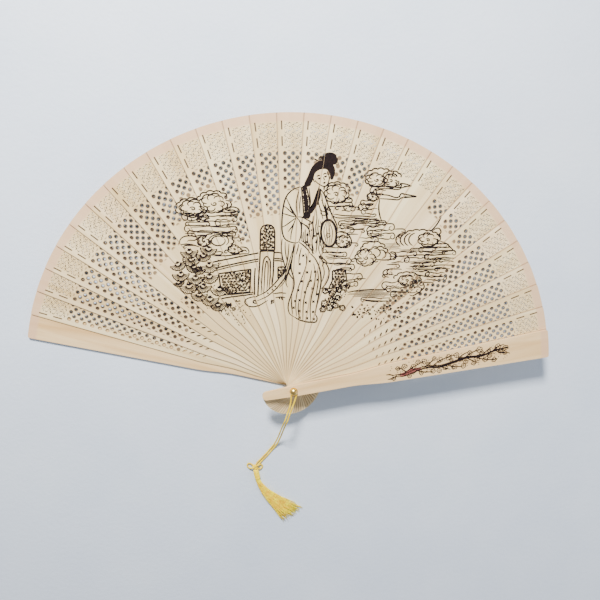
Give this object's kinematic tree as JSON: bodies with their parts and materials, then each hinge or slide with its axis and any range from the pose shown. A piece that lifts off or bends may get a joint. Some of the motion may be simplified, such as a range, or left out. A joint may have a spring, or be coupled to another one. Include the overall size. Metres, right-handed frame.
{
  "type": "folding fan",
  "caption": "Open folding fan of overlapping pierced wooden sticks on one brass rivet, with plain guards, hidden ribbons and a corded tassel.",
  "frame": {"origin": "on the rivet's axis, in the plane that the back guard rests on", "axes": "+Z along the rivet, from the back guard to the front guard; +Y from the rivet to the middle of the open fan; +X to the front guard's side"},
  "size_m": [0.4039, 0.3399, 0.0257],
  "materials": {
    "stick_wood": "sanded, unvarnished",
    "guard_wood": "sanded, faint wax",
    "rivet_brass": "polished",
    "silk_ribbon": "satin weave",
    "cord_yellow": "twisted cord",
    "tassel_yellow": "loose rayon threads"
  },
  "bodies": {
    "base": {"guard_back": "guard_wood", "rivet_pin": "rivet_brass", "rivet_back_head": "rivet_brass", "rivet_washer": "rivet_brass", "rivet_front_head": "rivet_brass", "ribbon_outer": "silk_ribbon", "ribbon_inner": "silk_ribbon", "cord_left": "cord_yellow", "cord_right": "cord_yellow", "tassel_knot": "cord_yellow", "tassel_collar": "tassel_yellow", "tassel_fringe": "tassel_yellow"},
    "stick_01": {"stick_01": "stick_wood"},
    "stick_02": {"stick_02": "stick_wood"},
    "stick_03": {"stick_03": "stick_wood"},
    "stick_04": {"stick_04": "stick_wood"},
    "stick_05": {"stick_05": "stick_wood"},
    "stick_06": {"stick_06": "stick_wood"},
    "stick_07": {"stick_07": "stick_wood"},
    "stick_08": {"stick_08": "stick_wood"},
    "stick_09": {"stick_09": "stick_wood"},
    "stick_10": {"stick_10": "stick_wood"},
    "stick_11": {"stick_11": "stick_wood"},
    "stick_12": {"stick_12": "stick_wood"},
    "stick_13": {"stick_13": "stick_wood"},
    "stick_14": {"stick_14": "stick_wood"},
    "stick_15": {"stick_15": "stick_wood"},
    "stick_16": {"stick_16": "stick_wood"},
    "stick_17": {"stick_17": "stick_wood"},
    "stick_18": {"stick_18": "stick_wood"},
    "stick_19": {"stick_19": "stick_wood"},
    "stick_20": {"stick_20": "stick_wood"},
    "stick_21": {"stick_21": "stick_wood"},
    "stick_22": {"stick_22": "stick_wood"},
    "stick_23": {"stick_23": "stick_wood"},
    "stick_24": {"stick_24": "stick_wood"},
    "stick_25": {"stick_25": "stick_wood"},
    "stick_26": {"stick_26": "stick_wood"},
    "stick_27": {"stick_27": "stick_wood"},
    "stick_28": {"stick_28": "stick_wood"},
    "front": {"guard_front": "guard_wood"}
  },
  "joints": [
    {"name": "fan_fold", "type": "hinge", "parent": "base", "child": "front", "pos_m": [0, 0, 0], "axis": [0, 0, 1], "range_deg": [0, 155.44], "deforming": ["ribbon_outer", "ribbon_inner"]},
    {"name": "stick_01_fold", "type": "hinge", "parent": "base", "child": "stick_01", "pos_m": [0, 0, 0], "axis": [0, 0, 1], "range_deg": [0, 5.38]},
    {"name": "stick_02_fold", "type": "hinge", "parent": "base", "child": "stick_02", "pos_m": [0, 0, 0], "axis": [0, 0, 1], "range_deg": [0, 10.74]},
    {"name": "stick_03_fold", "type": "hinge", "parent": "base", "child": "stick_03", "pos_m": [0, 0, 0], "axis": [0, 0, 1], "range_deg": [0, 16.1]},
    {"name": "stick_04_fold", "type": "hinge", "parent": "base", "child": "stick_04", "pos_m": [0, 0, 0], "axis": [0, 0, 1], "range_deg": [0, 21.46]},
    {"name": "stick_05_fold", "type": "hinge", "parent": "base", "child": "stick_05", "pos_m": [0, 0, 0], "axis": [0, 0, 1], "range_deg": [0, 26.82]},
    {"name": "stick_06_fold", "type": "hinge", "parent": "base", "child": "stick_06", "pos_m": [0, 0, 0], "axis": [0, 0, 1], "range_deg": [0, 32.18]},
    {"name": "stick_07_fold", "type": "hinge", "parent": "base", "child": "stick_07", "pos_m": [0, 0, 0], "axis": [0, 0, 1], "range_deg": [0, 37.54]},
    {"name": "stick_08_fold", "type": "hinge", "parent": "base", "child": "stick_08", "pos_m": [0, 0, 0], "axis": [0, 0, 1], "range_deg": [0, 42.9]},
    {"name": "stick_09_fold", "type": "hinge", "parent": "base", "child": "stick_09", "pos_m": [0, 0, 0], "axis": [0, 0, 1], "range_deg": [0, 48.26]},
    {"name": "stick_10_fold", "type": "hinge", "parent": "base", "child": "stick_10", "pos_m": [0, 0, 0], "axis": [0, 0, 1], "range_deg": [0, 53.62]},
    {"name": "stick_11_fold", "type": "hinge", "parent": "base", "child": "stick_11", "pos_m": [0, 0, 0], "axis": [0, 0, 1], "range_deg": [0, 58.98]},
    {"name": "stick_12_fold", "type": "hinge", "parent": "base", "child": "stick_12", "pos_m": [0, 0, 0], "axis": [0, 0, 1], "range_deg": [0, 64.34]},
    {"name": "stick_13_fold", "type": "hinge", "parent": "base", "child": "stick_13", "pos_m": [0, 0, 0], "axis": [0, 0, 1], "range_deg": [0, 69.7]},
    {"name": "stick_14_fold", "type": "hinge", "parent": "base", "child": "stick_14", "pos_m": [0, 0, 0], "axis": [0, 0, 1], "range_deg": [0, 75.06]},
    {"name": "stick_15_fold", "type": "hinge", "parent": "base", "child": "stick_15", "pos_m": [0, 0, 0], "axis": [0, 0, 1], "range_deg": [0, 80.42]},
    {"name": "stick_16_fold", "type": "hinge", "parent": "base", "child": "stick_16", "pos_m": [0, 0, 0], "axis": [0, 0, 1], "range_deg": [0, 85.78]},
    {"name": "stick_17_fold", "type": "hinge", "parent": "base", "child": "stick_17", "pos_m": [0, 0, 0], "axis": [0, 0, 1], "range_deg": [0, 91.14]},
    {"name": "stick_18_fold", "type": "hinge", "parent": "base", "child": "stick_18", "pos_m": [0, 0, 0], "axis": [0, 0, 1], "range_deg": [0, 96.5]},
    {"name": "stick_19_fold", "type": "hinge", "parent": "base", "child": "stick_19", "pos_m": [0, 0, 0], "axis": [0, 0, 1], "range_deg": [0, 101.86]},
    {"name": "stick_20_fold", "type": "hinge", "parent": "base", "child": "stick_20", "pos_m": [0, 0, 0], "axis": [0, 0, 1], "range_deg": [0, 107.22]},
    {"name": "stick_21_fold", "type": "hinge", "parent": "base", "child": "stick_21", "pos_m": [0, 0, 0], "axis": [0, 0, 1], "range_deg": [0, 112.58]},
    {"name": "stick_22_fold", "type": "hinge", "parent": "base", "child": "stick_22", "pos_m": [0, 0, 0], "axis": [0, 0, 1], "range_deg": [0, 117.94]},
    {"name": "stick_23_fold", "type": "hinge", "parent": "base", "child": "stick_23", "pos_m": [0, 0, 0], "axis": [0, 0, 1], "range_deg": [0, 123.3]},
    {"name": "stick_24_fold", "type": "hinge", "parent": "base", "child": "stick_24", "pos_m": [0, 0, 0], "axis": [0, 0, 1], "range_deg": [0, 128.66]},
    {"name": "stick_25_fold", "type": "hinge", "parent": "base", "child": "stick_25", "pos_m": [0, 0, 0], "axis": [0, 0, 1], "range_deg": [0, 134.02]},
    {"name": "stick_26_fold", "type": "hinge", "parent": "base", "child": "stick_26", "pos_m": [0, 0, 0], "axis": [0, 0, 1], "range_deg": [0, 139.38]},
    {"name": "stick_27_fold", "type": "hinge", "parent": "base", "child": "stick_27", "pos_m": [0, 0, 0], "axis": [0, 0, 1], "range_deg": [0, 144.74]},
    {"name": "stick_28_fold", "type": "hinge", "parent": "base", "child": "stick_28", "pos_m": [0, 0, 0], "axis": [0, 0, 1], "range_deg": [0, 150.1]}
  ],
  "couplings": [
    {"joint": "stick_01_fold", "follows": "fan_fold", "ratio": 0.034483},
    {"joint": "stick_02_fold", "follows": "fan_fold", "ratio": 0.068966},
    {"joint": "stick_03_fold", "follows": "fan_fold", "ratio": 0.10345},
    {"joint": "stick_04_fold", "follows": "fan_fold", "ratio": 0.13793},
    {"joint": "stick_05_fold", "follows": "fan_fold", "ratio": 0.17241},
    {"joint": "stick_06_fold", "follows": "fan_fold", "ratio": 0.2069},
    {"joint": "stick_07_fold", "follows": "fan_fold", "ratio": 0.24138},
    {"joint": "stick_08_fold", "follows": "fan_fold", "ratio": 0.27586},
    {"joint": "stick_09_fold", "follows": "fan_fold", "ratio": 0.31034},
    {"joint": "stick_10_fold", "follows": "fan_fold", "ratio": 0.34483},
    {"joint": "stick_11_fold", "follows": "fan_fold", "ratio": 0.37931},
    {"joint": "stick_12_fold", "follows": "fan_fold", "ratio": 0.41379},
    {"joint": "stick_13_fold", "follows": "fan_fold", "ratio": 0.44828},
    {"joint": "stick_14_fold", "follows": "fan_fold", "ratio": 0.48276},
    {"joint": "stick_15_fold", "follows": "fan_fold", "ratio": 0.51724},
    {"joint": "stick_16_fold", "follows": "fan_fold", "ratio": 0.55172},
    {"joint": "stick_17_fold", "follows": "fan_fold", "ratio": 0.58621},
    {"joint": "stick_18_fold", "follows": "fan_fold", "ratio": 0.62069},
    {"joint": "stick_19_fold", "follows": "fan_fold", "ratio": 0.65517},
    {"joint": "stick_20_fold", "follows": "fan_fold", "ratio": 0.68966},
    {"joint": "stick_21_fold", "follows": "fan_fold", "ratio": 0.72414},
    {"joint": "stick_22_fold", "follows": "fan_fold", "ratio": 0.75862},
    {"joint": "stick_23_fold", "follows": "fan_fold", "ratio": 0.7931},
    {"joint": "stick_24_fold", "follows": "fan_fold", "ratio": 0.82759},
    {"joint": "stick_25_fold", "follows": "fan_fold", "ratio": 0.86207},
    {"joint": "stick_26_fold", "follows": "fan_fold", "ratio": 0.89655},
    {"joint": "stick_27_fold", "follows": "fan_fold", "ratio": 0.93103},
    {"joint": "stick_28_fold", "follows": "fan_fold", "ratio": 0.96552}
  ]
}
